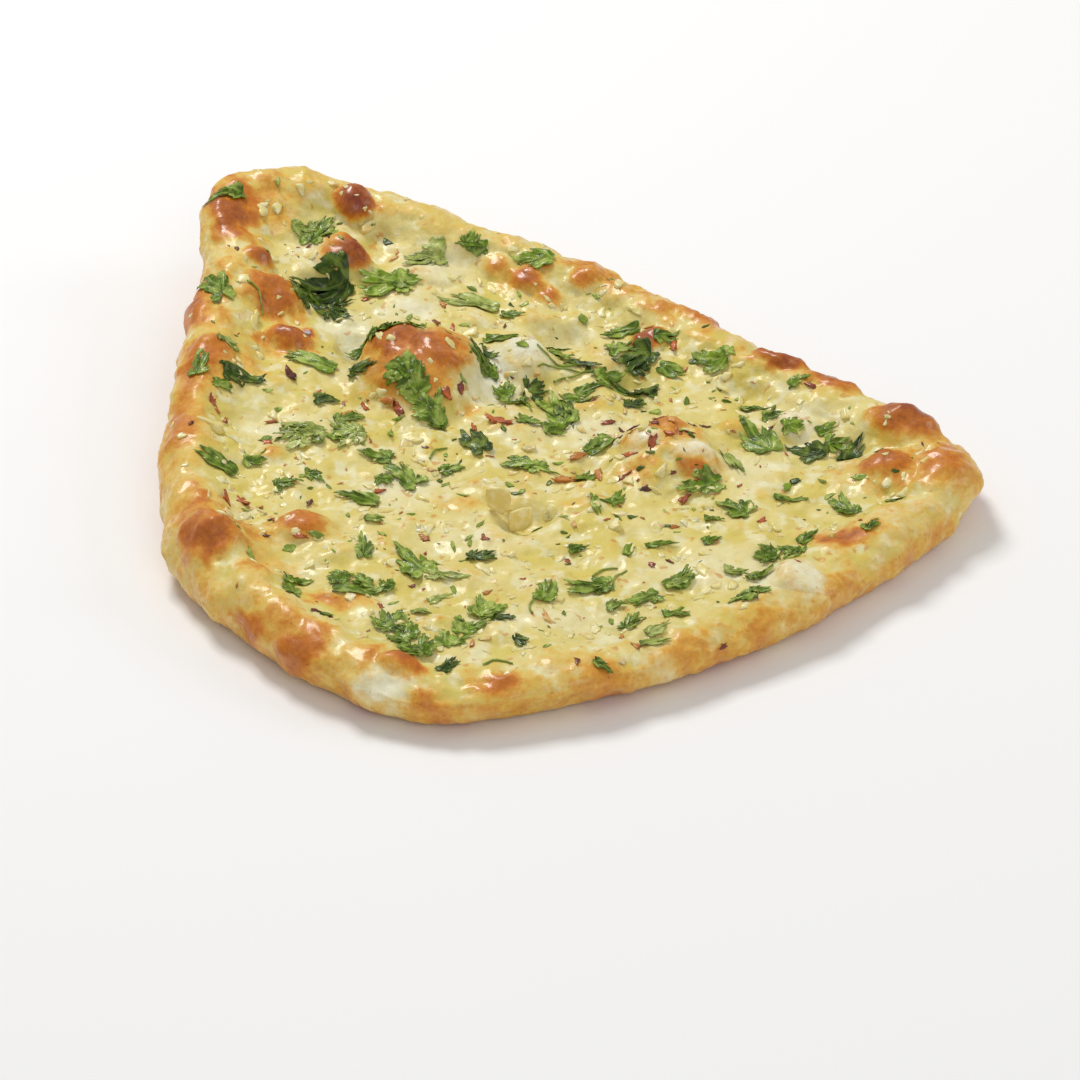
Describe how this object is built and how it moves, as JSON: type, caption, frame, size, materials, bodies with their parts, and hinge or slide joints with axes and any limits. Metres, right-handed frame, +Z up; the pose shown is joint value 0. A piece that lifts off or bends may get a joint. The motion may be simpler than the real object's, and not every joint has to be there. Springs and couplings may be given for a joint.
{
  "type": "naan bread",
  "caption": "Leavened flatbread in a rounded kite shape with a puffy rim, blistered top and flat underside, strewn with coriander leaves, garlic and browned flakes.",
  "frame": {"origin": "on the plane of the flat underside, at the middle of the bread's width and length", "axes": "+Z up out of the topped face, +Y towards the back along the bread's longest extent, +X to the right, towards the blunt corner"},
  "size_m": [0.234, 0.25, 0.0378],
  "materials": {
    "crust": "satin",
    "coriander": "satin",
    "garlic": "satin",
    "browned_flake": "matte"
  },
  "bodies": {
    "root": {"browned_flake_1": "browned_flake", "browned_flake_2": "browned_flake", "browned_flake_3": "browned_flake", "coriander_frond_1": "coriander", "coriander_frond_2": "coriander", "coriander_frond_3": "coriander", "coriander_frond_4": "coriander", "coriander_frond_5": "coriander", "coriander_frond_6": "coriander", "coriander_frond_7": "coriander", "coriander_frond_8": "coriander", "coriander_leaf_1": "coriander", "coriander_leaf_10": "coriander", "coriander_leaf_11": "coriander", "coriander_leaf_12": "coriander", "coriander_leaf_13": "coriander", "coriander_leaf_14": "coriander", "coriander_leaf_15": "coriander", "coriander_leaf_16": "coriander", "coriander_leaf_17": "coriander", "coriander_leaf_18": "coriander", "coriander_leaf_19": "coriander", "coriander_leaf_2": "coriander", "coriander_leaf_20": "coriander", "coriander_leaf_3": "coriander", "coriander_leaf_4": "coriander", "coriander_leaf_5": "coriander", "coriander_leaf_6": "coriander", "coriander_leaf_7": "coriander", "coriander_leaf_8": "coriander", "coriander_leaf_9": "coriander", "coriander_sliver_1": "coriander", "coriander_sliver_10": "coriander", "coriander_sliver_11": "coriander", "coriander_sliver_12": "coriander", "coriander_sliver_13": "coriander", "coriander_sliver_14": "coriander", "coriander_sliver_15": "coriander", "coriander_sliver_2": "coriander", "coriander_sliver_3": "coriander", "coriander_sliver_4": "coriander", "coriander_sliver_5": "coriander", "coriander_sliver_6": "coriander", "coriander_sliver_7": "coriander", "coriander_sliver_8": "coriander", "coriander_sliver_9": "coriander", "coriander_stem_1": "coriander", "coriander_stem_2": "coriander", "garlic_bit_1": "garlic", "garlic_bit_2": "garlic", "garlic_bit_3": "garlic", "garlic_bit_4": "garlic", "garlic_bit_5": "garlic", "garlic_bit_6": "garlic", "garlic_bit_7": "garlic", "garlic_bit_8": "garlic", "garlic_slice_1": "garlic", "garlic_slice_2": "garlic", "naan_bread": "crust"}
  },
  "joints": []
}
